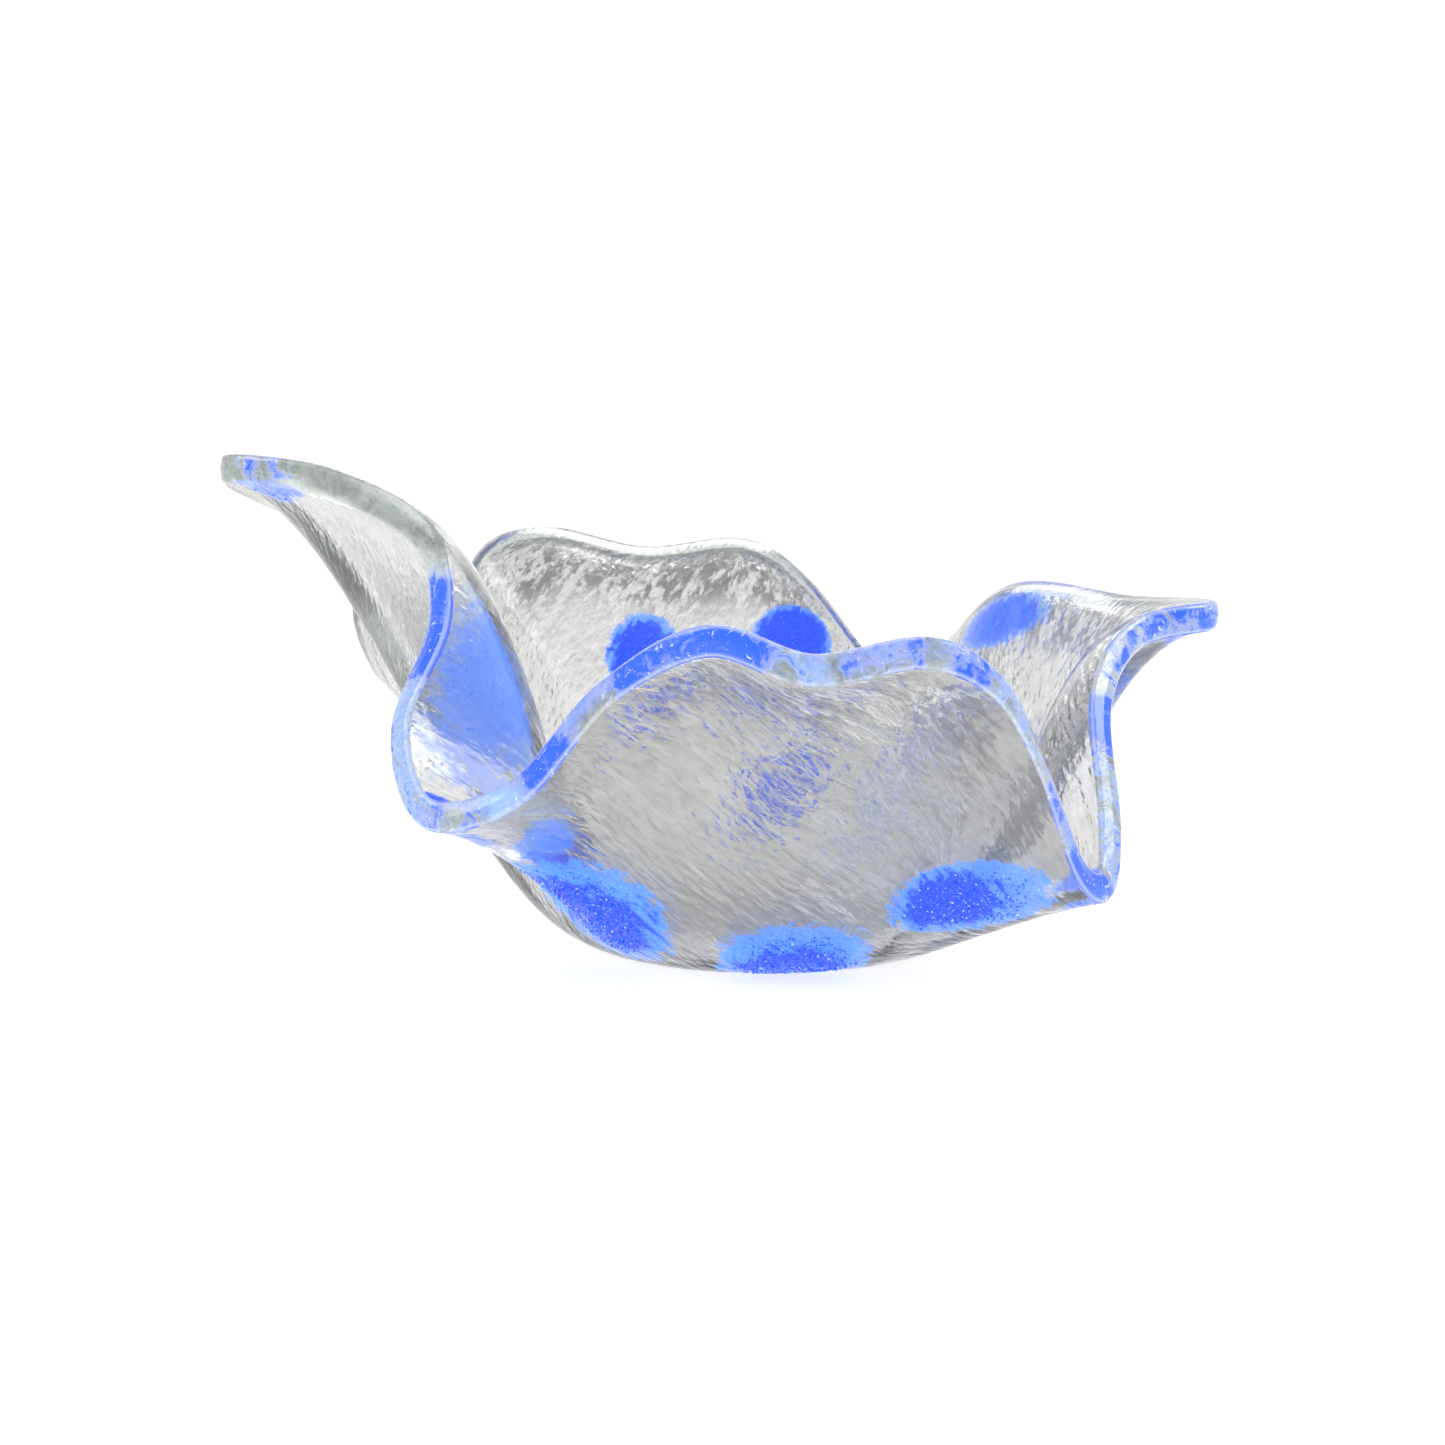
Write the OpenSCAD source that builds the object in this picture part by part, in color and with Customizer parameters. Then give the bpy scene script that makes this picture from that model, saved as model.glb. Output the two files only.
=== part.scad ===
// Slumped art glass bowl with a waved, handkerchief rim.
// Two clear sheets are fused face to face, and patches of blue frit are
// melted flush into the outer face. Sizes are millimetres, +Z is up, and the
// origin is the centre of the flat foot on the surface that it stands on.

/* [Foot] */
// Radius of the flat foot
foot_r = 32; // [31:0.5:34]

/* [Sheets] */
// Thickness of each of the two fused sheets
sheet_t = 3; // [2.4:0.1:3.2]

/* [Rim] */
// Scale of the rim's height above the foot
rim_rise = 1; // [0.9:0.01:1.05]
// Scale of the rim's spread in plan
rim_spread = 1; // [0.97:0.01:1.05]

/* [Frit] */
// Depth of a frit patch at its middle
frit_depth = 0.8; // [0.5:0.1:1.2]

/* [Hidden] */
// Mesh columns between two stations of the rim, and mesh rows up the wall
STATION_COLUMNS = 3;
WALL_ROWS = 16;
// Radii of the foot's mesh rings, as shares of foot_r
FOOT_RINGS = [0.4, 0.72];
// Angle of the first station's rib where it leaves the foot, in degrees
FIRST_ANGLE = -8;
// Least depth of a patch inside its edge, as a share of frit_depth
EDGE_SHARE = 0.4;
// A patch reaches no further round the bowl than this many stations
PATCH_STATIONS = 4;
// Step used to take slopes of the wall, in stations and in shares of its height
SLOPE_STEP = 0.02;

// Stations round the rim, anticlockwise from the right-hand tip. Each holds
// the rim's point [x, y, height above the foot's seam], the way that the
// glass runs out to it, and how far the wall swells out beyond the foot.
RIM = [
    [[95, -6, 67], [30, -4, 0], 28],       // right tip
    [[84, 30, 67], [26, 6, 2], 28],
    [[63, 64, 69], [18, 18, 3], 26],
    [[50, 80, 56], [12, 14, 14], 24],
    [[40, 90, 40], [10, 14, 10], 20],      // back right fold
    [[28, 97, 51], [6, 16, 14], 24],
    [[12, 103, 70], [2, 20, 8], 26],
    [[-3, 106, 79], [0, 24, 3], 28],       // back crests
    [[-28, 105, 77], [0, 26, 3], 28],
    [[-53, 102, 82], [-4, 24, 3], 28],
    [[-68, 94, 77], [-9, 16, 10], 26],
    [[-71, 93, 58], [-12, 13, 13], 25],
    [[-80, 94, 45], [-10, 13, 8], 24],     // back left fold
    [[-91, 91, 48], [-9, 12, 7], 25],
    [[-97, 84, 64], [-14, 12, 12], 26],
    [[-94, 70, 82], [-22, 10, 4], 28],
    [[-103, 42, 89], [-28, 2, 2], 28],
    [[-108, 13, 93], [-30, -4, 0], 28],
    [[-110, -12, 97], [-28, -14, 0], 28],  // left tip
    [[-87, -22, 94], [-20, -24, 4], 24],
    [[-68, -28, 84], [-19, -25, 11], 19],
    [[-64, -33, 67], [-19, -20, 12], 16],
    [[-71, -41, 47], [-22, -17, 10], 14],
    [[-65, -50, 31], [-18, -19, 4], 13],   // front left fold
    [[-47, -57, 36], [-13, -18, 8], 18],
    [[-30, -63, 55], [-7, -18, 12], 25],
    [[-11, -72, 65], [-2, -22, 3], 28],    // front crests
    [[8, -76, 60], [0, -24, 3], 28],
    [[29, -74, 63], [2, -22, 3], 28],
    [[43, -68, 56], [10, -14, 10], 26],
    [[52, -62, 40], [14, -8, 12], 22],
    [[59, -60, 22], [16, -10, 7], 12],
    [[65, -54, 18], [16, -15, 5], 10],     // front right fold
    [[67, -46, 29], [13, -16, 9], 14],
    [[67, -34, 52], [14, -12, 12], 22],
    [[77, -19, 64], [20, -12, 5], 28]
];

// Frit patches: name, the station and the share of the wall's height at the
// middle, and half the patch's size round the bowl and up the wall.
PATCHES = [
    ["frit_front_left_base", 22.9, 0.45, 21, 15],
    ["frit_front_base", 27.3, 0.12, 14, 12],
    ["frit_front_right_base", 30.5, 0.62, 8, 15],
    ["frit_back_wall_left", 8.4, 0.64, 9, 12],
    ["frit_back_wall_middle", 6.2, 0.74, 9, 12],
    ["frit_back_wall_low", 7.1, 0.38, 8, 9],
    ["frit_back_right_fold", 3.7, 0.8, 8, 8],
    ["frit_back_right_low", 4.7, 0.45, 6, 9],
    ["frit_left_wing", 21.3, 0.82, 23, 16],
    ["frit_left_tip", 18.4, 0.96, 8, 5],
    ["frit_left_fold", 22.9, 0.95, 5, 5],
    ["frit_front_left_rim", 23.9, 0.8, 5, 5],
    ["frit_right_wing", 1.9, 0.84, 14, 8],
    ["frit_right_tip", 35.8, 0.95, 9, 6],
    ["frit_front_right_fold", 31.9, 0.95, 7, 8]
];

// ---- Rim and wall ------------------------------------------------------

STATIONS = len(RIM);
DOWN = [0, 0, -1];

function wrap(i) = (i % STATIONS + STATIONS) % STATIONS;

function rim_point(i) = let (p = RIM[wrap(i)][0])
    [p.x * rim_spread, p.y * rim_spread, sheet_t + p.z * rim_rise];

// Length of the rim from the first station to each of the others
function rim_length(i) = i == 0 ? 0 : rim_length(i - 1) + norm(rim_point(i) - rim_point(i - 1));
RIM_LENGTHS = [for (i = [0 : STATIONS]) rim_length(i)];

// Share of the rim's length at a station, which also counts whole turns
function turn(i) = floor(i / STATIONS) + RIM_LENGTHS[wrap(i)] / RIM_LENGTHS[STATIONS];

// Everything that a station holds, as one vector that can be blended
function station(i) = concat(rim_point(i), RIM[wrap(i)][1], [RIM[wrap(i)][2], turn(i)]);

// Catmull-Rom curve through b and c
function curve(a, b, c, d, t) =
    b + (c - a) * t / 2 + (2 * a - 5 * b + 4 * c - d) * t^2 / 2
    + (3 * b - a - 3 * c + d) * t^3 / 2;

function station_at(u) = let (i = floor(u))
    curve(station(i - 1), station(i), station(i + 1), station(i + 2), u - i);

function rib_way(s) = let (angle = FIRST_ANGLE + 360 * s[7]) [cos(angle), sin(angle), 0];

// Point of the seam between the sheets: station u round, share v up the wall
function wall_point(u, v) =
    let (
        s = station_at(u),
        way = rib_way(s),
        low = foot_r * way + [0, 0, sheet_t],
        swell = low + s[6] * way,
        tip = [s[0], s[1], s[2]],
        lip = tip - [s[3], s[4], s[5]]
    )
    (1 - v)^3 * low + 3 * (1 - v)^2 * v * swell + 3 * (1 - v) * v^2 * lip + v^3 * tip;

function wall_way_round(u, v) = wall_point(u + SLOPE_STEP, v) - wall_point(u - SLOPE_STEP, v);
function wall_way_up(u, v) = wall_point(u, v + SLOPE_STEP) - wall_point(u, v - SLOPE_STEP);
function unit(a) = a / norm(a);
function wall_normal(u, v) = unit(cross(wall_way_round(u, v), wall_way_up(u, v)));

// ---- Mesh of the seam: rings of the foot, then rows up the wall ---------

COLUMNS = STATIONS * STATION_COLUMNS;
FOOT_ROWS = len(FOOT_RINGS);
TOP = FOOT_ROWS + WALL_ROWS;

function column_station(j) = j / STATION_COLUMNS;
function row_height(k) = (k - FOOT_ROWS) / WALL_ROWS;

function foot_point(k, j) = FOOT_RINGS[k] * foot_r * rib_way(station_at(column_station(j)))
    + [0, 0, sheet_t];

SEAM = [for (k = [0 : TOP]) [for (j = [0 : COLUMNS - 1])
    k < FOOT_ROWS ? foot_point(k, j) : wall_point(column_station(j), row_height(k))]];

NORMAL = [for (k = [0 : TOP]) [for (j = [0 : COLUMNS - 1])
    k <= FOOT_ROWS ? DOWN : wall_normal(column_station(j), row_height(k))]];

// ---- Frit patches --------------------------------------------------------

// Middle of a patch on the outer face, and the ways round, up and out there
function patch_frame(patch) =
    let (
        u = patch[1],
        v = patch[2],
        out = wall_normal(u, v),
        round_way = unit(wall_way_round(u, v))
    )
    [wall_point(u, v) + sheet_t * out, round_way, cross(out, round_way), out];

// Depth of a patch at a point p of the outer face at station u
function depth_at(p, u, patch, frame) =
    abs((u - patch[1] + 1.5 * STATIONS) % STATIONS - STATIONS / 2) > PATCH_STATIONS ? 0
    : let (
        d = p - frame[0],
        across = d * frame[1] / patch[3],
        along = d * frame[2] / patch[4],
        away = 2 * d * frame[3] / (patch[3] + patch[4]),
        inside = 1 - across^2 - along^2 - away^2
    )
    inside > 0 ? frit_depth * (EDGE_SHARE + (1 - EDGE_SHARE) * inside) : 0;

OUTER_FACE = SEAM + sheet_t * NORMAL;

function patch_depths(patch) = let (frame = patch_frame(patch))
    [for (k = [0 : TOP]) [for (j = [0 : COLUMNS - 1])
        depth_at(OUTER_FACE[k][j], column_station(j), patch, frame)]];

DEPTHS = [for (patch = PATCHES) patch_depths(patch)];

function deepest(k, j) = max([for (depths = DEPTHS) depths[k][j]]);

// The outer face with a pocket sunk into it for each patch
POCKETED_FACE = [for (k = [0 : TOP]) [for (j = [0 : COLUMNS - 1])
    OUTER_FACE[k][j] - deepest(k, j) * NORMAL[k][j]]];

// ---- Solids --------------------------------------------------------------

function next(j) = (j + 1) % COLUMNS;
function flat(rows) = [for (row = rows) each row];

// The two triangles of the mesh cell above row k and after column j
function cell(k, j) = [
    [[k, j], [k + 1, next(j)], [k, next(j)]],
    [[k, j], [k + 1, j], [k + 1, next(j)]]
];
CELLS = [for (k = [0 : TOP - 1], j = [0 : COLUMNS - 1]) each cell(k, j)];

// A sheet of glass between two faces of the same mesh
module sheet(outer, inner) {
    inner_start = COLUMNS * (TOP + 1);
    function outer_at(c) = c[0] * COLUMNS + c[1];
    function inner_at(c) = inner_start + outer_at(c);
    function rim_cell(j) = [
        [inner_at([TOP, j]), inner_at([TOP, next(j)]), outer_at([TOP, next(j)])],
        [inner_at([TOP, j]), outer_at([TOP, next(j)]), outer_at([TOP, j])]
    ];
    outer_skin = [for (t = CELLS) [for (c = t) outer_at(c)]];
    inner_skin = [for (t = CELLS) [inner_at(t[0]), inner_at(t[2]), inner_at(t[1])]];
    rim_edge = [for (j = [0 : COLUMNS - 1]) each rim_cell(j)];
    outer_foot = [for (j = [0 : COLUMNS - 1]) outer_at([0, j])];
    inner_foot = [for (j = [COLUMNS - 1 : -1 : 0]) inner_at([0, j])];
    polyhedron(
        concat(flat(outer), flat(inner)),
        concat(outer_skin, inner_skin, rim_edge, [outer_foot], [inner_foot])
    );
}

module outer_sheet() {
    color([0.8, 0.84, 0.85]) sheet(POCKETED_FACE, SEAM);
}

module inner_sheet() {
    color([0.86, 0.88, 0.87]) sheet(SEAM, SEAM - sheet_t * NORMAL);
}

// A patch of frit that fills its pocket, flush with the outer face
module frit_patch(depths) {
    // Only the mesh rows and columns that the patch touches
    touched = [for (t = CELLS) if (max([for (c = t) depths[c[0]][c[1]]]) > 0) t];
    corners = [for (t = touched) each t];
    used = [for (k = [0 : TOP]) for (j = search_columns(corners, k)) [k, j]];
    sunk_start = len(used);
    function depth(c) = depths[c[0]][c[1]];
    function face_at(c) = search([c], used)[0];
    function sunk_at(c) = depth(c) > 0 ? sunk_start + face_at(c) : face_at(c);
    function solid_faces(faces) = [for (f = faces) if (f[0] != f[1] && f[1] != f[2] && f[2] != f[0]) f];
    face_skin = [for (t = touched) [for (c = t) face_at(c)]];
    sunk_skin = [for (t = touched) [sunk_at(t[0]), sunk_at(t[2]), sunk_at(t[1])]];
    rim_cells = [for (t = touched) if (t[1][0] == TOP && t[2][0] == TOP) [t[1], t[2]]];
    rim_edge = [for (r = rim_cells) each [
        [sunk_at(r[0]), sunk_at(r[1]), face_at(r[1])],
        [sunk_at(r[0]), face_at(r[1]), face_at(r[0])]
    ]];
    face_points = [for (c = used) OUTER_FACE[c[0]][c[1]]];
    sunk_points = [for (c = used) OUTER_FACE[c[0]][c[1]] - depth(c) * NORMAL[c[0]][c[1]]];
    color([0.2, 0.4, 0.95])
        polyhedron(
            concat(face_points, sunk_points),
            concat(face_skin, sunk_skin, solid_faces(rim_edge))
        );
}

// Columns that a list of mesh corners uses in row k, each of them once
function search_columns(corners, k) =
    let (row = [for (c = corners) if (c[0] == k) c[1]])
    [for (j = [0 : COLUMNS - 1]) if (len(search(j, row)) > 0) j];

outer_sheet();
inner_sheet();
for (i = [0 : len(PATCHES) - 1])
    frit_patch(DEPTHS[i]);
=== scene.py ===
"""Slumped art glass bowl with a waved, handkerchief rim.

Two clear hammered sheets are fused face to face, and blue frit is melted into
the outer one. Lengths are metres, +Z is up, and the origin is the centre of
the flat foot. The shape follows the same stations as the frame's solids.
"""

import math
from collections import namedtuple

import bpy
import numpy as np
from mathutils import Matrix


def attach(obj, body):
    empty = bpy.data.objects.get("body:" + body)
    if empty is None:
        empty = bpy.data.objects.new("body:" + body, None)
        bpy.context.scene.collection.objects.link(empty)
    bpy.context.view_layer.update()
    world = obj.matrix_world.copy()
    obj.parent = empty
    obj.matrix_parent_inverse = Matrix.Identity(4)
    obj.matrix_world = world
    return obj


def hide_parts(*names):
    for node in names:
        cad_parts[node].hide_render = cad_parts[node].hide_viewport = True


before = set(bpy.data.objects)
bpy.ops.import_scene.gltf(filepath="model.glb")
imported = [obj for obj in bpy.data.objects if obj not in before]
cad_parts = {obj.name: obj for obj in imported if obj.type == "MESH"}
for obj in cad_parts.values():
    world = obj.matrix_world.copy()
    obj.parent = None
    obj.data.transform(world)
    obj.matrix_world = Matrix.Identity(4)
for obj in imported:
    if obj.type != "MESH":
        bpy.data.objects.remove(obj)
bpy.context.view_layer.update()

bl_info = {
    "name": "Slumped Art Glass Bowl",
    "version": (1, 0, 0),
    "blender": (4, 5, 0),
    "location": "3D View > Sidebar > Glass Bowl",
    "description": "Builds a fused and slumped glass bowl with blue frit",
    "category": "Add Mesh",
}

BODY = "root"
MM = 0.001
PER_CM2 = 1e4

# Stations round the rim, anticlockwise from the right-hand tip, in millimetres:
# the rim's point (x, y, height above the foot's seam), the way that the glass
# runs out to it, and how far the wall swells out beyond the foot.
RIM = (
    ((95, -6, 67), (30, -4, 0), 28),  # right tip
    ((84, 30, 67), (26, 6, 2), 28),
    ((63, 64, 69), (18, 18, 3), 26),
    ((50, 80, 56), (12, 14, 14), 24),
    ((40, 90, 40), (10, 14, 10), 20),  # back right fold
    ((28, 97, 51), (6, 16, 14), 24),
    ((12, 103, 70), (2, 20, 8), 26),
    ((-3, 106, 79), (0, 24, 3), 28),  # back crests
    ((-28, 105, 77), (0, 26, 3), 28),
    ((-53, 102, 82), (-4, 24, 3), 28),
    ((-68, 94, 77), (-9, 16, 10), 26),
    ((-71, 93, 58), (-12, 13, 13), 25),
    ((-80, 94, 45), (-10, 13, 8), 24),  # back left fold
    ((-91, 91, 48), (-9, 12, 7), 25),
    ((-97, 84, 64), (-14, 12, 12), 26),
    ((-94, 70, 82), (-22, 10, 4), 28),
    ((-103, 42, 89), (-28, 2, 2), 28),
    ((-108, 13, 93), (-30, -4, 0), 28),
    ((-110, -12, 97), (-28, -14, 0), 28),  # left tip
    ((-87, -22, 94), (-20, -24, 4), 24),
    ((-68, -28, 84), (-19, -25, 11), 19),
    ((-64, -33, 67), (-19, -20, 12), 16),
    ((-71, -41, 47), (-22, -17, 10), 14),
    ((-65, -50, 31), (-18, -19, 4), 13),  # front left fold
    ((-47, -57, 36), (-13, -18, 8), 18),
    ((-30, -63, 55), (-7, -18, 12), 25),
    ((-11, -72, 65), (-2, -22, 3), 28),  # front crests
    ((8, -76, 60), (0, -24, 3), 28),
    ((29, -74, 63), (2, -22, 3), 28),
    ((43, -68, 56), (10, -14, 10), 26),
    ((52, -62, 40), (14, -8, 12), 22),
    ((59, -60, 22), (16, -10, 7), 12),
    ((65, -54, 18), (16, -15, 5), 10),  # front right fold
    ((67, -46, 29), (13, -16, 9), 14),
    ((67, -34, 52), (14, -12, 12), 22),
    ((77, -19, 64), (20, -12, 5), 28),
)
STATIONS = len(RIM)
FIRST_ANGLE = math.radians(-8)

# Frit patches: CAD node, station and share of the wall's height at the middle,
# half sizes round the bowl and up the wall in millimetres, how thickly the frit
# lies, how ragged its edge is, how much it thins towards the rim, and grains
# to the square centimetre.
Patch = namedtuple(
    "Patch", "node station height half_round half_up thickness ragged thins grains"
)
PATCHES = tuple(map(Patch._make, (
    ("frit_front_left_base", 22.9, 0.45, 21, 15, 1.0, 0.45, 0.3, 130),
    ("frit_front_base", 27.3, 0.12, 14, 12, 0.95, 0.5, 0.6, 130),
    ("frit_front_right_base", 30.5, 0.62, 8, 15, 0.95, 0.55, 0.7, 130),
    ("frit_back_wall_left", 8.4, 0.64, 9, 12, 0.95, 0.2, 0.2, 8),
    ("frit_back_wall_middle", 6.2, 0.74, 9, 12, 0.95, 0.1, 0.0, 8),
    ("frit_back_wall_low", 7.1, 0.38, 8, 9, 1.0, 0.5, 0.0, 8),
    ("frit_back_right_fold", 3.7, 0.8, 8, 8, 0.9, 0.5, 0.0, 8),
    ("frit_back_right_low", 4.7, 0.45, 6, 9, 0.4, 0.3, 0.0, 4),
    ("frit_left_wing", 21.3, 0.82, 23, 16, 0.3, 0.9, 0.4, 6),
    ("frit_left_tip", 18.4, 0.96, 8, 5, 0.5, 0.6, 0.0, 4),
    ("frit_left_fold", 22.9, 0.95, 5, 5, 0.8, 0.4, 0.0, 8),
    ("frit_front_left_rim", 23.9, 0.8, 5, 5, 0.3, 0.2, 0.0, 6),
    ("frit_right_wing", 1.9, 0.84, 14, 8, 0.56, 0.3, 0.3, 8),
    ("frit_right_tip", 35.8, 0.95, 9, 6, 0.5, 0.5, 0.0, 4),
    ("frit_front_right_fold", 31.9, 0.95, 7, 8, 0.5, 0.3, 0.0, 8),
)))
BASE_PATCHES = PATCHES[:3]  # the big granular ones low on the front
# A patch reaches no further round the bowl than this many stations
PATCH_STATIONS = 4
FAR_OUTSIDE = -9
EDGE_SHARE = 0.4  # depth of the frit at a patch's edge, as a share of its middle's
FRINGE = 0.35  # how far below 0 inside_patch falls before the frit has thinned to nothing
FRIT_STREAKS = (0.009, 0.0016, 0.01)  # size of a streak in the frit, in metres

# Light that the frit carries to the cut edge: from station, to station, how
# blue the edge is there, and how milky.
BAND = (
    (18.2, 18.7, 0.6, 0.3),
    (20.5, 21.55, 1.0, 0.0),
    (21.55, 23.1, 0.4, 0.55),
    (23.1, 23.32, 0.9, 0.1),
    (23.45, 23.7, 0.85, 0.2),
    (23.7, 24.02, 0.1, 1.0),
    (24.07, 24.62, 0.9, 0.1),
    (25.05, 26.65, 0.92, 0.15),
    (26.65, 27.25, 0.3, 0.5),
    (27.25, 27.42, 0.9, 0.0),
    (27.42, 27.8, 0.45, 0.4),
    (27.8, 28.0, 0.8, 0.2),
    (28.3, 28.85, 0.8, 0.2),
    (28.85, 30.0, 0.35, 0.5),
    (30.0, 30.7, 0.6, 0.2),
    (30.7, 32.1, 1.0, 0.0),
    (32.1, 33.5, 0.4, 0.5),
    (33.5, 34.1, 0.9, 0.0),
    (34.1, 35.0, 0.55, 0.3),
    (35.0, 36.2, 0.65, 0.45),
    (0.2, 0.5, 0.3, 0.5),
)
CORNER_PAINTED_HIGHLIGHT = (0.2, 1.0, 0.25, 0.0)  # painted highlight along a rounded corner: how pale each of its rings is
BAND_EDGE = 0.3  # stations over which one stretch of the edge fades to the next

# Where painted shade darkens the glass by the bent lip, in place of dark reflections there: from
# station, to station, how strongly
LIP_PAINTED_SHADE_STRETCHES = ((5.2, 10.4, 1.0), (-0.8, 2.6, 0.8), (25.0, 30.0, 0.45))
LIP_FADE = 0.8
LIP_BOTTOM, LIP_BOTTOM_FADE = 0.72, 0.08  # shares of the wall's height
LIP_TOP, LIP_TOP_FADE = 0.97, 0.05
# Colour of the painted shade by the bent lip
LIP_PAINTED_SHADE_COLOUR = (0.09, 0.09, 0.095)
# Where painted light makes the left wing's glass paler
PAINTED_LIGHT_WING = (15.0, 21.5)
PAINTED_LIGHT_WING_FADE = 1.0

# Sizes in metres of the marks in the glass's skin, along and across its grain
STROKES = (0.0033, 0.0012, 0.01)
BROAD_STROKES = (0.011, 0.0034, 0.02)
DIMPLES = (0.0026, 0.0015, 0.01)
SKIN_BUMP = 0.00065
EDGE_BUMP = 0.0004
EDGE_GLOW = 0.18
GRAIN_GLOW = 0.15

# Mesh of the sheets
STATION_COLUMNS = 12
COLUMNS = STATIONS * STATION_COLUMNS
FOOT_RINGS = (0.08, 0.22, 0.38, 0.54, 0.7, 0.86)
WALL_ROWS = 84
LAST_ROW = 0.9875  # share of the wall's height where the rounded corner starts
SLOPE_STEP = 0.01
SHARP_ANGLE = math.radians(50)
CORNER_ANGLES = (25, 50, 72, 90)

# Stage
LENS = 58.2
CAMERA_PLACE = (-0.008, -0.492, 0.090)
CAMERA_TILT = math.radians(85)
FLOOR_REACH = 6.0
FLOOR_GAP = 0.0005  # the hammered foot dips a little below its middle height
FLOOR_GLOW = 0.75
# name, power, size, place, and turn in degrees
SOFTBOXES = (
    ("softbox_left", 3.0, 0.5, (-0.75, -0.35, 0.7), (48, 0, -65)),
    ("softbox_right", 2.5, 0.4, (0.8, -0.1, 0.6), (52, 0, 82)),
    ("softbox_back", 2.5, 0.5, (0.1, 0.9, 0.8), (-50, 0, 0)),
)

SKIN, EDGE, SEAM = 0, 1, 2  # finishes of a sheet's faces


def shade(red, green, blue):
    """A display colour, 0 to 255, as linear light."""
    return tuple(
        c / 12.92 if c <= 0.04045 else ((c + 0.055) / 1.055) ** 2.4
        for c in (red / 255, green / 255, blue / 255)
    )


# ---- Settings ---------------------------------------------------------------


def length(name, description, default, low=0.0, high=0.2):
    return bpy.props.FloatProperty(
        name=name, description=description, default=default, min=low, max=high,
        precision=5, subtype="DISTANCE", unit="LENGTH",
    )


def factor(name, description, default, high=1.0):
    return bpy.props.FloatProperty(
        name=name, description=description, default=default, min=0.0, max=high,
        subtype="FACTOR",
    )


def colour(name, description, default):
    return bpy.props.FloatVectorProperty(
        name=name, description=description, default=default, size=3, min=0.0, max=1.0,
        subtype="COLOR",
    )


class BowlShape(bpy.types.PropertyGroup):
    """Sizes of the glass and of the frit."""

    foot_radius: length("Foot radius", "Radius of the flat foot", 0.032)
    sheet_thickness: length("Sheet thickness", "Thickness of each fused sheet", 0.003)
    arris: length("Arris", "Radius of the fire-polished corners of the rim", 0.0011)
    edge_bulge: length("Edge bulge", "How far the melted edge bulges", 0.00025)
    hammer_depth: length("Hammer depth", "Depth of the hammered hollows", 0.00022)
    hammer_width: length("Hammer width", "Width of a hammered hollow", 0.0032)
    hammer_length: length("Hammer length", "Length of a hammered hollow", 0.011)
    grain_angle: bpy.props.FloatProperty(
        name="Grain angle", description="Way that the hammered grain runs across the sheet",
        default=math.radians(45), subtype="ANGLE", unit="ROTATION",
    )
    frit_depth: length("Frit depth", "Depth of a frit patch at its middle", 0.0008)
    frit_cover: length("Frit cover", "Clear glass over a frit patch", 0.0003)
    grain_size: length("Grain size", "Radius of a loose grain of frit", 0.00028)
    seed: bpy.props.IntProperty(name="Seed", description="Seed of the scattered grains", default=7)


class BowlFinish(bpy.types.PropertyGroup):
    """Colours of the glass and of the frit."""

    glass: colour("Glass", "Tint of the clear glass", (0.65, 0.652, 0.64))
    # The glass is painted darker in its hollows as painted shade, and paler on ridges and on the
    # left wing as painted light
    glass_painted_shade: colour("Glass in hollows", "Tint of the glass in its hollows", (0.43, 0.43, 0.42))
    glass_painted_light: colour("Glass on ridges", "Tint of the glass on its ridges", (0.86, 0.87, 0.87))
    edge_clear: colour("Clear edge", "Colour of the clear cut edge", shade(212, 222, 214))
    edge_milk: colour("Milky edge", "Colour of the milky cut edge", shade(172, 204, 250))
    edge_blue: colour("Blue edge", "Colour of the cut edge by the frit", shade(36, 98, 248))
    frit_deep: colour("Deep frit", "Colour of thick frit", shade(0, 78, 255))
    frit_pale: colour("Pale frit", "Colour of thin frit", shade(84, 164, 255))
    frit_glow: factor("Frit glow", "Light that passes through the frit", 0.85)


# ---- Shape of the seam between the sheets -----------------------------------


def rim_stations(foot_seam):
    """Each station as one row: rim point, run to the rim, belly, share of the rim's length."""
    rim = np.array([point for point, _, _ in RIM], float) * MM
    rim[:, 2] += foot_seam
    steps = np.linalg.norm(np.roll(rim, -1, 0) - rim, axis=1)
    turn = np.concatenate([[0], np.cumsum(steps)[:-1]]) / steps.sum()
    run = np.array([way for _, way, _ in RIM], float) * MM
    belly = np.array([swell for _, _, swell in RIM], float) * MM
    return np.column_stack([rim, run, belly, turn])


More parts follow.
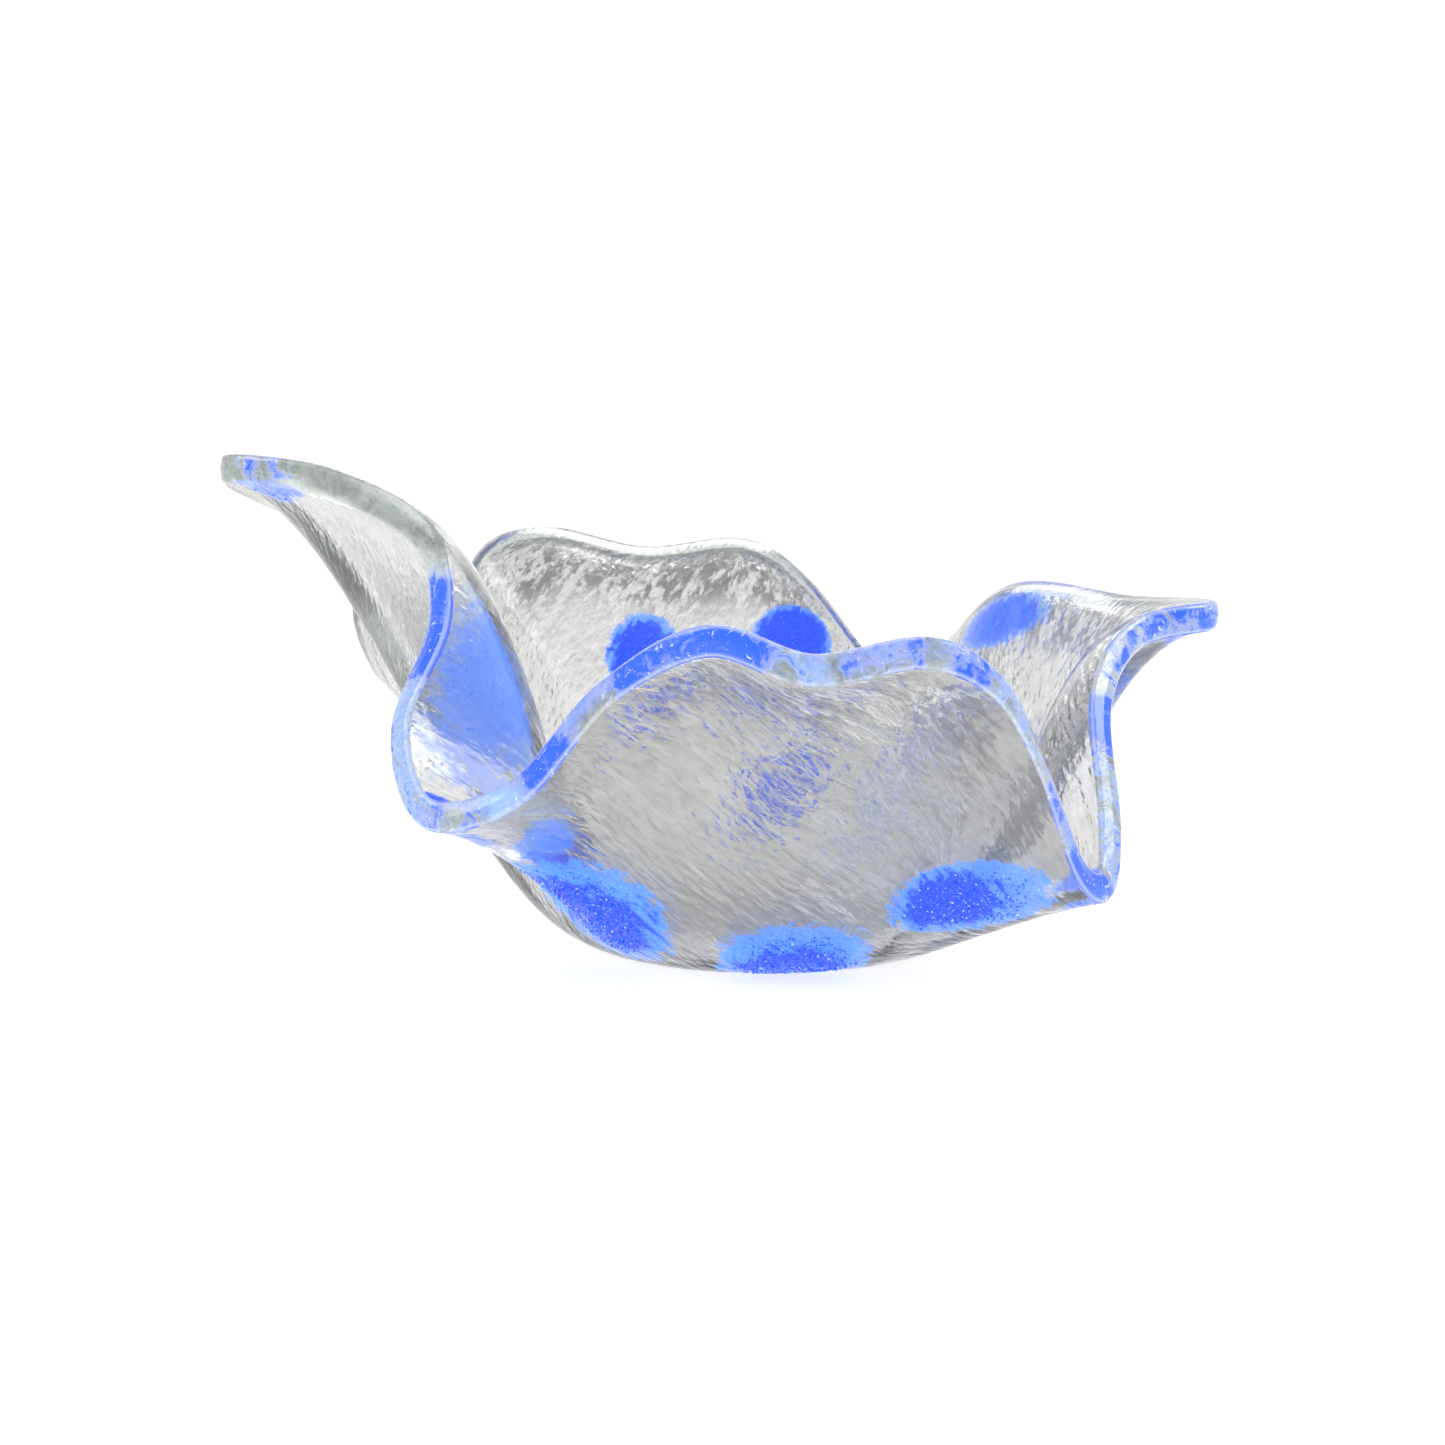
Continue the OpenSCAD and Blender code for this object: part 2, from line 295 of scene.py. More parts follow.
class Wall:
    """The slumped surface between the sheets: station u round, share v up the wall."""

    def __init__(self, shape):
        self.foot = shape.foot_radius
        self.seam = shape.sheet_thickness
        self.rows = rim_stations(self.seam)

    def station(self, i):
        row = self.rows[i % STATIONS].copy()
        row[:, 7] += i // STATIONS
        return row

    def station_at(self, u):
        i = np.floor(u).astype(int)
        t = (u - i)[:, None]
        a, b, c, d = (self.station(i + k) for k in (-1, 0, 1, 2))
        return (
            b + (c - a) * t / 2 + (2 * a - 5 * b + 4 * c - d) * t**2 / 2
            + (3 * b - a - 3 * c + d) * t**3 / 2
        )

    def way(self, u):
        angle = FIRST_ANGLE + 2 * np.pi * self.station_at(u)[:, 7]
        return np.column_stack([np.cos(angle), np.sin(angle), 0 * angle])

    def points(self, u, v):
        """Points at every pair of u and v, one row for each v."""
        s = self.station_at(u)
        way = self.way(u)
        low = self.foot * way + [0, 0, self.seam]
        swell = low + s[:, 6:7] * way
        tip = s[:, :3]
        lip = tip - s[:, 3:6]
        v = np.asarray(v)[:, None, None]
        return (
            (1 - v) ** 3 * low + 3 * (1 - v) ** 2 * v * swell
            + 3 * (1 - v) * v**2 * lip + v**3 * tip
        )

    def ways(self, u, v):
        """Unit ways round, up and outwards at every pair of u and v."""
        v = np.asarray(v)
        around = unit(self.points(u + SLOPE_STEP, v) - self.points(u - SLOPE_STEP, v))
        up = self.points(u, v + SLOPE_STEP) - self.points(u, v - SLOPE_STEP)
        out = unit(np.cross(around, up))
        return around, np.cross(out, around), out

    def foot_points(self, u, share):
        return share * self.foot * self.way(u) + [0, 0, self.seam]


def unit(vectors):
    return vectors / np.linalg.norm(vectors, axis=-1, keepdims=True)


class Grid:
    """The mesh of the seam: rings of the foot, then rows up the wall."""

    def __init__(self, shape):
        wall = Wall(shape)
        self.wall = wall
        self.u = np.arange(COLUMNS) / STATION_COLUMNS
        self.v = np.linspace(0, 1, WALL_ROWS + 1)
        self.v[-1] = LAST_ROW
        self.rings = len(FOOT_RINGS)
        foot = np.array([wall.foot_points(self.u, share) for share in FOOT_RINGS])
        self.seam = np.concatenate([foot, wall.points(self.u, self.v)])
        around, up, out = wall.ways(self.u, self.v)
        out[0] = (0, 0, -1)
        down = np.broadcast_to(np.array([0.0, 0.0, -1.0]), foot.shape)
        self.out = np.concatenate([down, out])
        # Where each point lay on the flat sheet before it was slumped
        steps = np.linalg.norm(np.diff(self.seam, axis=0), axis=2)
        radius = np.concatenate([np.full((1, COLUMNS), FOOT_RINGS[0] * wall.foot), steps])
        radius = np.cumsum(radius, axis=0)
        self.flat = radius[:, :, None] * wall.way(self.u)[None]
        self.radius = radius
        # The rim's own frame
        self.rim = wall.points(self.u, [1.0])[0]
        _, rim_up, rim_out = wall.ways(self.u, [1.0])
        self.rim_up = rim_up[0]
        self.rim_out = rim_out[0]
        last_step = np.linalg.norm(self.rim - self.seam[-1], axis=1)
        self.rim_flat = (radius[-1] + last_step)[:, None] * wall.way(self.u)

    def face(self, depth):
        """Points on a face that lies depth outside the seam."""
        return self.seam + depth * self.out

    def edge(self, along, depth):
        """Points by the rim, along past it and depth outside the seam."""
        return self.rim + along * self.rim_up + depth * self.rim_out


def inside_patch(grid, patch, points):
    """1 in the middle of a patch, 0 at its edge and below 0 outside it."""
    u = np.array([patch.station])
    v = [patch.height]
    around, up, out = (way[0, 0] for way in grid.wall.ways(u, v))
    middle = grid.wall.points(u, v)[0, 0] + grid.wall.seam * out
    d = points - middle
    half_round, half_up = patch.half_round * MM, patch.half_up * MM
    inside = (
        1 - (d @ around / half_round) ** 2 - (d @ up / half_up) ** 2
        - (2 * (d @ out) / (half_round + half_up)) ** 2
    )
    away = np.abs((grid.u - patch.station + 1.5 * STATIONS) % STATIONS - STATIONS / 2)
    inside[:, away > PATCH_STATIONS] = FAR_OUTSIDE
    return inside


def band_shades(u):
    """How blue and how milky the cut edge is at each station."""
    blue, milk = np.zeros(len(u)), np.zeros(len(u))
    for start, end, blueness, milkiness in BAND:
        for turn in (-STATIONS, 0, STATIONS):
            rise = np.clip((u - start - turn) / BAND_EDGE + 0.5, 0, 1)
            fall = np.clip((end + turn - u) / BAND_EDGE + 0.5, 0, 1)
            here = rise * fall
            blue = np.maximum(blue, here * blueness)
            milk = np.maximum(milk, here * milkiness)
    return blue, milk


# ---- Meshes -----------------------------------------------------------------


def new_object(name, vertices, faces, attributes=(), finishes=None):
    mesh = bpy.data.meshes.new(name)
    mesh.from_pydata(vertices.tolist(), [], faces)
    for label, kind, values in attributes:
        layer = mesh.attributes.new(label, kind, "POINT")
        layer.data.foreach_set("vector" if kind == "FLOAT_VECTOR" else "value", np.ravel(values))
    if finishes is not None:
        layer = mesh.attributes.new("finish", "INT", "FACE")
        layer.data.foreach_set("value", finishes)
    mesh.shade_smooth()
    mesh.validate()
    piece = bpy.data.objects.new(name, mesh)
    bpy.context.scene.collection.objects.link(piece)
    return piece


def shell(name, rows, poles):
    """A closed body from rings of points, each (points, attributes, finish up to the next)."""
    points = np.concatenate([row[0] for row in rows] + [np.array([pole[0] for pole in poles])])
    labels = list(rows[0][1])
    attributes = []
    for label in labels:
        parts = [row[1][label] for row in rows] + [np.array([pole[1][label] for pole in poles])]
        values = np.concatenate(parts)
        attributes.append((label, "FLOAT_VECTOR" if values.ndim == 2 else "FLOAT", values))
    here = np.arange(COLUMNS)
    after = (here + 1) % COLUMNS
    faces, finishes = [], []
    for k in range(len(rows) - 1):
        low, high = k * COLUMNS, (k + 1) * COLUMNS
        quads = np.column_stack([low + after, high + after, high + here, low + here])
        faces.extend(quads.tolist())
        finishes.extend([rows[k][2]] * COLUMNS)
    first, last = len(rows) * COLUMNS, len(rows) * COLUMNS + 1
    top = (len(rows) - 1) * COLUMNS
    faces.extend(np.column_stack([here * 0 + first, after, here]).tolist())
    faces.extend(np.column_stack([here * 0 + last, top + here, top + after]).tolist())
    finishes.extend([rows[0][2]] * COLUMNS + [rows[-1][2]] * COLUMNS)
    return new_object(name, points, faces, attributes, finishes)


def finish_piece(piece, body, slot, *nodes):
    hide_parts(*nodes)
    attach(piece, body)
    return piece


def bake_modifiers(piece):
    """Turns the piece's modifiers into a plain mesh."""
    evaluated = piece.evaluated_get(bpy.context.evaluated_depsgraph_get())
    mesh = bpy.data.meshes.new_from_object(evaluated)
    piece.modifiers.clear()
    old = piece.data
    piece.data = mesh
    bpy.data.meshes.remove(old)
    mesh.name = piece.name
    mesh.shade_smooth()
    mesh.set_sharp_from_angle(angle=SHARP_ANGLE)
    return piece


# ---- Node trees -------------------------------------------------------------


class Value:
    """A number in a node tree, used in Python expressions."""

    def __init__(self, tree, socket):
        self.tree = tree
        self.socket = socket

    def math(self, operation, first, second=None):
        inputs = {0: first} if second is None else {0: first, 1: second}
        return self.tree.value("ShaderNodeMath", {"operation": operation}, inputs)

    def __add__(self, other):
        return self.math("ADD", self, other)

    def __radd__(self, other):
        return self.math("ADD", other, self)

    def __sub__(self, other):
        return self.math("SUBTRACT", self, other)

    def __rsub__(self, other):
        return self.math("SUBTRACT", other, self)

    def __mul__(self, other):
        return self.math("MULTIPLY", self, other)

    def __rmul__(self, other):
        return self.math("MULTIPLY", other, self)

    def __truediv__(self, other):
        return self.math("DIVIDE", self, other)

    def __rtruediv__(self, other):
        return self.math("DIVIDE", other, self)


class Tree:
    """A node tree that is written as expressions."""

    def __init__(self, nodes, links):
        self.nodes = nodes
        self.links = links

    def node(self, kind, settings=None, inputs=None):
        made = self.nodes.new(kind)
        for name, setting in (settings or {}).items():
            if name == "stops":
                ramp = made.color_ramp
                while len(ramp.elements) < len(setting):
                    ramp.elements.new(0.5)
                for element, (place, stop) in zip(ramp.elements, setting):
                    element.position = place
                    element.color = (*stop, 1.0)
            else:
                setattr(made, name, setting)
        for name, given in (inputs or {}).items():
            socket = made.inputs[name]
            if isinstance(given, Value):
                self.links.new(given.socket, socket)
            elif isinstance(given, bpy.types.NodeSocket):
                self.links.new(given, socket)
            elif socket.type == "RGBA" and len(given) == 3:
                socket.default_value = (*given, 1.0)
            else:
                socket.default_value = given
        return made

    def value(self, kind, settings=None, inputs=None, output=0):
        return Value(self, self.node(kind, settings, inputs).outputs[output])

    def ramp(self, value, low, high, to_low=0.0, to_high=1.0):
        """A smooth step from one number to another."""
        return self.value(
            "ShaderNodeMapRange", {"interpolation_type": "SMOOTHSTEP"},
            {0: value, 1: low, 2: high, 3: to_low, 4: to_high},
        )

    def noise(self, place, scale, detail=2.0, roughness=0.5, distortion=0.0):
        return self.value(
            "ShaderNodeTexNoise", {"noise_dimensions": "3D"},
            {"Vector": place, "Scale": scale, "Detail": detail, "Roughness": roughness,
             "Distortion": distortion},
        )

    def blend(self, share, first, second):
        """A colour between two others."""
        return self.node(
            "ShaderNodeMix", {"data_type": "RGBA"}, {0: share, 6: first, 7: second}
        ).outputs[2]

    def stretch(self, place, angle, sizes):
        """A place turned in the flat sheet and measured in cells of the given sizes."""
        turned = self.node(
            "ShaderNodeVectorRotate", {"rotation_type": "Z_AXIS"},
            {"Vector": place, "Angle": -angle},
        ).outputs[0]
        return self.node(
            "ShaderNodeVectorMath", {"operation": "MULTIPLY"},
            {0: turned, 1: tuple(1 / size for size in sizes)},
        ).outputs[0]


def material_tree(name):
    material = bpy.data.materials.new(name)
    material.use_nodes = True
    material.node_tree.nodes.clear()
    return material, Tree(material.node_tree.nodes, material.node_tree.links)


def attribute(tree, name, output="Fac"):
    made = tree.node("ShaderNodeAttribute", {"attribute_type": "GEOMETRY", "attribute_name": name})
    if output == "Vector":
        return made.outputs["Vector"]
    return Value(tree, made.outputs["Fac"])


def surface(tree, shader):
    tree.node("ShaderNodeOutputMaterial", None, {"Surface": shader})


# ---- Materials --------------------------------------------------------------


def hammered_glass(shape, finish):
    """Clear glass with a grain that runs one way across the flat sheet."""
    material, tree = material_tree("hammered_glass")
    place = attribute(tree, "flat", "Vector")
    # The lip attribute says where painted shade darkens the glass by the bent lip
    lip = attribute(tree, "lip")
    grit = attribute(tree, "grit")
    angle = shape.grain_angle
    strokes = tree.noise(tree.stretch(place, angle, STROKES), 1.0, 3.0, 0.55, 0.4)
    broad = tree.noise(tree.stretch(place, angle, BROAD_STROKES), 1.0, 2.0, 0.5, 0.6)
    dimples = tree.value(
        "ShaderNodeTexVoronoi", {"feature": "SMOOTH_F1"},
        {"Vector": tree.stretch(place, angle, DIMPLES), "Scale": 1.0, "Smoothness": 0.6},
    )
    pits = tree.noise(place, 2600.0, 2.0, 0.6)
    # The outer face took the mould's grain, and the inner one is fire-polished
    depth = Value(tree, tree.node("ShaderNodeSeparateXYZ", None, {0: place}).outputs[2])
    grain = tree.ramp(depth, -0.004, 0.004, 0.3, 1.0)
    height = (strokes * 0.5 + dimples * 0.3 + broad * 0.5) * grain + pits * (grit * 0.4 + 0.02)
    normal = tree.node(
        "ShaderNodeBump", None,
        {"Strength": 1.0, "Distance": SKIN_BUMP, "Height": height},
    ).outputs[0]
    # Painted shade darkens the glass in its hollows and by the bent lip, and painted
    # light makes it paler on ridges and on the left wing
    hollows = tree.ramp(strokes * 0.7 + broad * 0.3, 0.5, 0.36)
    ridges = tree.ramp(strokes * 0.3 + broad * 0.7, 0.5, 0.62)
    painted_lip_streaks = tree.ramp(broad * 0.5 + strokes * 0.5, 0.55, 0.46) * lip
    pale = attribute(tree, "pale")
    tint = tree.blend(hollows * 0.5 * grain, finish.glass, finish.glass_painted_shade)
    tint = tree.blend(ridges * 0.45 * grain, tint, finish.glass_painted_light)
    tint = tree.blend(pale * 0.7, tint, finish.glass_painted_light)
    tint = tree.blend(painted_lip_streaks * grain, tint, LIP_PAINTED_SHADE_COLOUR)
    surface(tree, tree.node(
        "ShaderNodeBsdfPrincipled", None,
        {"Base Color": tint, "Roughness": grit * 0.12 + 0.015, "IOR": 1.5,
         "Transmission Weight": 0.965, "Normal": normal},
    ).outputs[0])
    return material


def rim_glass(finish):
    """The melted cut edge, which shows the light that the frit carries to it."""
    material, tree = material_tree("rim_glass")
    place = tree.node("ShaderNodeTexCoord").outputs["Object"]
    blue = attribute(tree, "blue")
    milk = attribute(tree, "milk")
    painted_corner_highlight = attribute(tree, "lip")  # by the rim it carries the painted highlight of the corners
    marbling = tree.noise(place, 210.0, 4.0, 0.62, 1.0)
    specks = tree.noise(place, 700.0, 3.0, 0.65, 0.8)
    blue_share = tree.ramp(blue + (marbling - 0.5) * 1.9 + (specks - 0.5) * 0.6, 0.25, 0.8)
    milk_share = tree.ramp(milk + (marbling - 0.5) * 1.2, 0.2, 0.8)
    # Pale specks on the cut edge are painted glints, and the dark specks below painted shadow
    painted_glints = tree.ramp(specks, 0.6, 0.68)
    tint = tree.blend(milk_share, finish.edge_clear, finish.edge_milk)
    tint = tree.blend(blue_share, tint, finish.edge_blue)
    tint = tree.blend(painted_glints * 0.6, tint, shade(236, 244, 255))
    shadow = tree.ramp(specks, 0.44, 0.36) * (1 - blue_share)
    tint = tree.blend(shadow * 0.15, tint, shade(110, 132, 150))
    # Painted highlight along the rim's rounded corners
    tint = tree.blend(painted_corner_highlight * 0.4, tint, shade(240, 246, 255))
    normal = tree.node(
        "ShaderNodeBump", None, {"Strength": 0.6, "Distance": EDGE_BUMP, "Height": marbling}
    ).outputs[0]
    solid = tree.node(
        "ShaderNodeBsdfPrincipled", None,
        {"Base Color": tint, "Roughness": 0.08, "IOR": 1.5, "Normal": normal,
         "Emission Color": tint, "Emission Strength": EDGE_GLOW, "Coat Weight": 0.5,
         "Coat Roughness": 0.03},
    ).outputs[0]
    clear = tree.node(
        "ShaderNodeBsdfPrincipled", None,
        {"Base Color": tint, "Roughness": 0.03, "IOR": 1.5, "Transmission Weight": 1.0,
         "Normal": normal},
    ).outputs[0]
    cloud = blue_share * 0.45 + milk_share * 0.2 + 0.45 + (marbling - 0.5) * 0.4
    share = tree.ramp(cloud, 0.1, 0.95)
    mixed = tree.node("ShaderNodeMixShader", None, {0: share, 1: clear, 2: solid})
    surface(tree, mixed.outputs[0])
    return material


def seam_glass():
    """Where one sheet has melted into the other there is nothing to see."""
    material, tree = material_tree("seam_glass")
    surface(tree, tree.node(
        "ShaderNodeBsdfPrincipled", None,
        {"Base Color": (1.0, 1.0, 1.0), "Alpha": 0.0, "IOR": 1.5, "Specular IOR Level": 0.0},
    ).outputs[0])
    return material


def melted_frit(shape, finish, patch):
    """A layer of melted blue frit with a ragged, feathered edge."""
    thickness, ragged = patch.thickness, patch.ragged
    spread = 0.3 if patch in BASE_PATCHES else 0.12
    material, tree = material_tree(patch.node + "_glass")
    place = attribute(tree, "flat", "Vector")
    inside = attribute(tree, "inside")
    thin = attribute(tree, "thin")
    clumps = tree.noise(place, 420.0, 3.0, 0.6, 0.6)
    along_grain = tree.stretch(place, shape.grain_angle, FRIT_STREAKS)
    streaks = tree.noise(along_grain, 1.0, 3.0, 0.6, 0.5)
    crumbs = tree.noise(place, 1500.0, 3.0, 0.75)
    edge = (
        inside + (clumps - 0.5) * (0.4 + ragged * 1.8) + (streaks - 0.5) * ragged * 1.6
        + (crumbs - 0.5) * 0.25
    )
    cover = tree.ramp(edge, -spread, 0.25 - spread)
    amount = tree.ramp(edge - thin * 0.9 + (streaks - 0.5) * 0.9, -0.2, 0.6)
    alpha = cover * (amount * (1 - 0.45 * thickness) + 0.55 * thickness) * thickness
    depth = tree.ramp(amount + (crumbs - 0.5) * 0.5, 0.2, 0.85) * min(1.0, thickness * 1.1)
    tint = tree.blend(depth, finish.frit_pale, finish.frit_deep)
    tint = tree.blend(tree.ramp(crumbs, 0.46, 0.36) * 0.5, tint, shade(0, 36, 200))
    # Pale specks are painted glints on the granular frit
    tint = tree.blend(tree.ramp(crumbs, 0.6, 0.68) * 0.6, tint, shade(176, 206, 255))
    surface(tree, tree.node(
        "ShaderNodeBsdfPrincipled", None,
        {"Base Color": tint, "Roughness": 0.35, "IOR": 1.5, "Alpha": alpha,
         "Specular IOR Level": 0.0,
         "Emission Color": tint, "Emission Strength": finish.frit_glow},
    ).outputs[0])
    return material


def loose_frit(finish):
    """Grains of frit that stand in the glass without melting flat."""
    material, tree = material_tree("loose_frit")
    place = tree.node("ShaderNodeTexCoord").outputs["Object"]
    pick = tree.noise(place, 1400.0, 1.0)
    tint = tree.blend(tree.ramp(pick, 0.35, 0.65), finish.frit_deep, finish.frit_pale)
    tint = tree.blend(tree.ramp(pick, 0.6, 0.68), tint, shade(225, 235, 255))
    surface(tree, tree.node(
        "ShaderNodeBsdfPrincipled", None,
        {"Base Color": tint, "Roughness": 0.12, "IOR": 1.5,
         "Emission Color": tint, "Emission Strength": GRAIN_GLOW},
    ).outputs[0])
    return material


# ---- Geometry node trees ----------------------------------------------------


def geometry_tree(name, inputs):
    """A geometry node group with named inputs, and the tree to write it in."""
    group = bpy.data.node_groups.new(name, "GeometryNodeTree")
    group.interface.new_socket("Geometry", in_out="INPUT", socket_type="NodeSocketGeometry")
    for label, kind in inputs:
        group.interface.new_socket(label, in_out="INPUT", socket_type="NodeSocket" + kind)
    group.interface.new_socket("Geometry", in_out="OUTPUT", socket_type="NodeSocketGeometry")
    tree = Tree(group.nodes, group.links)
    start = tree.node("NodeGroupInput")
    return group, tree, start


def add_geometry_nodes(piece, group, settings):
    """Puts the group on the piece, with its inputs set by their identifiers."""
    modifier = piece.modifiers.new(group.name, "NODES")
    modifier.node_group = group
    names = {item.name: item.identifier for item in group.interface.items_tree
             if item.item_type == "SOCKET" and item.in_out == "INPUT"}
    for label, setting in settings.items():
        modifier[names[label]] = setting
    return modifier


def named(tree, name, kind="FLOAT"):
    """The value that an attribute has at each point or face."""
    return tree.node(
        "GeometryNodeInputNamedAttribute", {"data_type": kind}, {"Name": name}
    ).outputs[0]


def hammering(materials):
    """Presses shallow hollows into a sheet's free faces and gives each face its finish."""
    group, tree, start = geometry_tree(
        "Hammered sheet", [("Depth", "Float"), ("Length", "Float"), ("Width", "Float"),
                           ("Angle", "Float")]
    )
    out = {label: Value(tree, start.outputs[label]) for label in ("Depth", "Length", "Width")}
    turned = tree.node(
        "ShaderNodeVectorRotate", {"rotation_type": "Z_AXIS"},
        {"Vector": named(tree, "flat", "FLOAT_VECTOR"),
         "Angle": 0.0 - Value(tree, start.outputs["Angle"])},
    ).outputs[0]
    parts = tree.node("ShaderNodeSeparateXYZ", None, {0: turned}).outputs
    cells = tree.node("ShaderNodeCombineXYZ", None, {
        0: Value(tree, parts[0]) / out["Length"],
        1: Value(tree, parts[1]) / out["Width"],
        2: Value(tree, parts[2]) * 100.0,
    }).outputs[0]
    height = (tree.noise(cells, 1.0, 2.0, 0.5, 0.3) - 0.5) * out["Depth"] \
        * Value(tree, named(tree, "free"))
    offset = tree.node(
        "ShaderNodeVectorMath", {"operation": "SCALE"},
        {0: tree.node("GeometryNodeInputNormal").outputs[0], "Scale": height},
    ).outputs[0]
    moved = tree.node(
        "GeometryNodeSetPosition", None, {"Geometry": start.outputs[0], "Offset": offset}
    ).outputs[0]
    joined = tree.node("GeometryNodeRealizeInstances", None, {0: moved}).outputs[0]
    finish = named(tree, "finish", "INT")
    for number, material in enumerate(materials):
        chosen = tree.node(
            "FunctionNodeCompare", {"data_type": "INT", "operation": "EQUAL"},
            {2: finish, 3: number},
        ).outputs[0]
        joined = tree.node(
            "GeometryNodeSetMaterial", None,
            {"Geometry": joined, "Selection": chosen, "Material": material},
        ).outputs[0]
    tree.node("NodeGroupOutput", None, {0: joined})
    return group


def graining():
    """Scatters loose grains over a frit patch's outer face."""
    group, tree, start = geometry_tree(
        "Frit grains", [("Density", "Float"), ("Grain size", "Float"), ("Rise", "Float"),
                        ("Seed", "Int"), ("Layer", "Material"), ("Grains", "Material")]
    )
    patch = start.outputs[0]
    outer = named(tree, "outer")
    face = tree.node(
        "GeometryNodeDeleteGeometry", {"domain": "FACE"},
        {0: patch, 1: tree.node(
            "FunctionNodeCompare", {"data_type": "FLOAT", "operation": "LESS_THAN"},
            {0: outer, 1: 0.6}).outputs[0]},
    ).outputs[0]
    thick = tree.ramp(Value(tree, named(tree, "inside")), 0.12, 0.5)
    scatter = tree.node(
        "GeometryNodeDistributePointsOnFaces", {"distribute_method": "RANDOM"},
        {"Mesh": face, "Density": thick * Value(tree, start.outputs["Density"]),
         "Seed": start.outputs["Seed"]},
    )
    lift = tree.node(
        "ShaderNodeVectorMath", {"operation": "SCALE"},
        {0: scatter.outputs["Normal"], "Scale": start.outputs["Rise"]},
    ).outputs[0]
    points = tree.node(
        "GeometryNodeSetPosition", None, {"Geometry": scatter.outputs["Points"], "Offset": lift}
    ).outputs[0]
    grain = tree.node(
        "GeometryNodeMeshIcoSphere", None,
        {"Radius": start.outputs["Grain size"], "Subdivisions": 1},
    ).outputs[0]
    turn = tree.node(
        "FunctionNodeRandomValue", {"data_type": "FLOAT_VECTOR"},
        {0: (0.0, 0.0, 0.0), 1: (6.283, 6.283, 6.283), "Seed": 3},
    ).outputs[0]
    size = tree.node(
        "FunctionNodeRandomValue", {"data_type": "FLOAT_VECTOR"},
        {0: (0.4, 0.4, 0.4), 1: (1.3, 1.1, 1.0), "Seed": 5},
    ).outputs[0]
    grains = tree.node(
        "GeometryNodeInstanceOnPoints", None,
        {"Points": points, "Instance": grain, "Rotation": turn, "Scale": size},
    ).outputs[0]
    loose = tree.node("GeometryNodeSetMaterial", None,
                      {"Geometry": grains, "Material": start.outputs["Grains"]}).outputs[0]
    layer = tree.node("GeometryNodeSetMaterial", None,
                      {"Geometry": patch, "Material": start.outputs["Layer"]}).outputs[0]
    both = tree.node("GeometryNodeJoinGeometry")
    tree.links.new(loose, both.inputs[0])
    tree.links.new(layer, both.inputs[0])
    whole = tree.node("GeometryNodeRealizeInstances", None, {0: both.outputs[0]}).outputs[0]
    tree.node("NodeGroupOutput", None, {0: whole})
    return group


# ---- Operators --------------------------------------------------------------


def sheet_rows(grid, shape):
    """Rings of the outer face, the seam and the inner face, and of the rim's edge."""
    thickness, arris, bulge = shape.sheet_thickness, shape.arris, shape.edge_bulge
    grit = np.zeros(grid.radius.shape)
    outer_face = grid.face(thickness)
    for patch in BASE_PATCHES:
        grit = np.maximum(grit, np.clip(inside_patch(grid, patch, outer_face) * 2, 0, 1))
    blue, milk = band_shades(grid.u)
    none = np.zeros(COLUMNS)
    lip_top = np.concatenate([np.zeros(grid.rings), grid.v])

    def ring(k, depth, free, finish):
        points = grid.seam[k] + depth * grid.out[k]
        flat = grid.flat[k] + [0, 0, depth * 2]
        # Painted shade by the bent lip
        lip = lip_painted_shade(grid.u) * lip_height(lip_top[k])
        # Painted light makes the left wing paler
        pale = wing_painted_light_share(grid.u) * min(1.0, lip_top[k] * 2)
        return points, {
            "flat": flat, "free": none + free, "lip": lip, "pale": pale,
            "grit": grit[k] if depth > 0 else none, "blue": blue, "milk": milk,
        }, finish

    def brim(along, depth, finish, painted_corner_highlight=0.0):
        return grid.edge(along, depth), {
            "flat": grid.rim_flat + [0, 0, depth * 2], "free": none, "lip": none + painted_corner_highlight,
            "pale": none, "grit": none, "blue": blue, "milk": milk,
        }, finish

    def pole(depth):
        height = grid.wall.seam - depth
        return (0, 0, height), {
            "flat": (0, 0, depth * 2), "free": 0.0, "lip": 0.0, "pale": 0.0, "grit": 0.0,
            "blue": 0.0, "milk": 0.0,
        }

    def corner(side):
        """Steps from a face round to the edge."""
        steps = [(1 - math.cos(a), math.sin(a)) for a in np.radians(CORNER_ANGLES)]
        return [(-arris * (1 - s), side * (thickness - arris * c)) for c, s in steps]

    count = len(grid.seam)
    seam = [ring(k, 0.0, 0.0, SEAM) for k in range(count)]
    outer = [ring(k, thickness, 1.0, SKIN) for k in range(count)]
    inner = [ring(k, -thickness, 1.0, SKIN) for k in range(count)]
    # The corner rings carry a painted highlight
    outer_corner = [brim(a, d, EDGE, s) for (a, d), s in zip(corner(1), CORNER_PAINTED_HIGHLIGHT)]
    inner_corner = [brim(a, d, EDGE, s) for (a, d), s in zip(corner(-1), CORNER_PAINTED_HIGHLIGHT)]
    middle = [brim(bulge, 0.0, SEAM)]
    outer_edge = brim(bulge * 0.6, thickness * 0.3, EDGE)
    inner_edge = brim(bulge * 0.6, -thickness * 0.3, EDGE)
    outer_sheet = outer + outer_corner + [outer_edge] + middle + seam[::-1]
    inner_sheet = (
        seam + [brim(bulge, 0.0, EDGE), inner_edge] + inner_corner[::-1] + inner[::-1]
    )
    # The face between the last ring of a skin and the corner is part of the edge
    outer_sheet[count - 1] = (*outer_sheet[count - 1][:2], EDGE)
    corner_end = count + 2 + len(inner_corner)
    inner_sheet[corner_end - 1] = (*inner_sheet[corner_end - 1][:2], EDGE)
    return outer_sheet, [pole(thickness), pole(0.0)], inner_sheet, [pole(0.0), pole(-thickness)]


